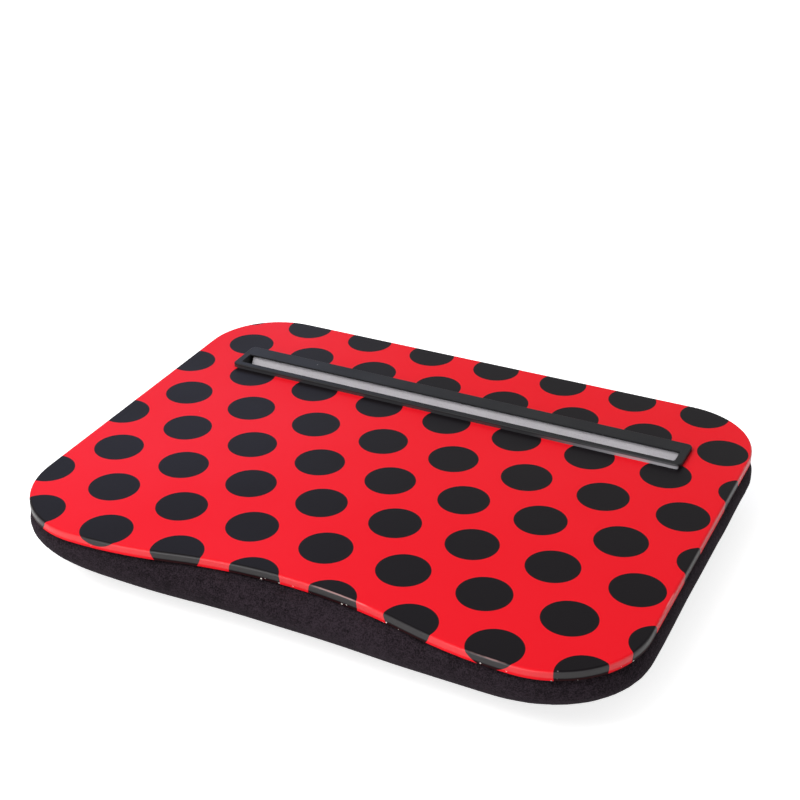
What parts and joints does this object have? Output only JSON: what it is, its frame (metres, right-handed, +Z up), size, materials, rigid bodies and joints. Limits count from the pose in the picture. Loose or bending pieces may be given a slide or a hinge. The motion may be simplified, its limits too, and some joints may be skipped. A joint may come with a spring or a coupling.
{
  "type": "lap tray with cushion",
  "caption": "Flat lap tray with a waisted front edge, a slanted slot that holds a tablet upright, and a soft bead-filled cushion under it.",
  "frame": {"origin": "on the floor under the middle of the tray's outline", "axes": "+X to the right along the tray's long side, +Y to the back, +Z up"},
  "size_m": [0.3226, 0.2506, 0.0405],
  "materials": {
    "board_core": "raw fibreboard",
    "printed_film": "satin printed film with near-black dots",
    "frame_plastic": "satin black moulding",
    "pad_foam": "light grey foam",
    "hook_tape": "black hook tape",
    "loop_tape": "black loop tape",
    "panel_cloth": "black woven cloth",
    "cover_cloth": "black napped cloth",
    "bag_cloth": "thin white cloth",
    "beads": "loose white beads"
  },
  "bodies": {
    "cushion": {"cushion_cover": "cover_cloth", "cushion_top_panel": "panel_cloth", "bead_bag": "bag_cloth", "bead_fill": "beads", "loop_strip_front_left": "loop_tape", "loop_strip_front_right": "loop_tape", "loop_strip_back_left": "loop_tape", "loop_strip_back_right": "loop_tape"},
    "tray": {"tray_board": "board_core", "print_film": "printed_film", "slot_frame": "frame_plastic", "rest_pad": "pad_foam", "hook_strip_front_left": "hook_tape", "hook_strip_front_right": "hook_tape", "hook_strip_back_left": "hook_tape", "hook_strip_back_right": "hook_tape"}
  },
  "joints": [
    {"name": "tray_lift", "type": "slide", "parent": "cushion", "child": "tray", "axis": [0, 0, 1], "range_m": [0, 0.06]}
  ]
}
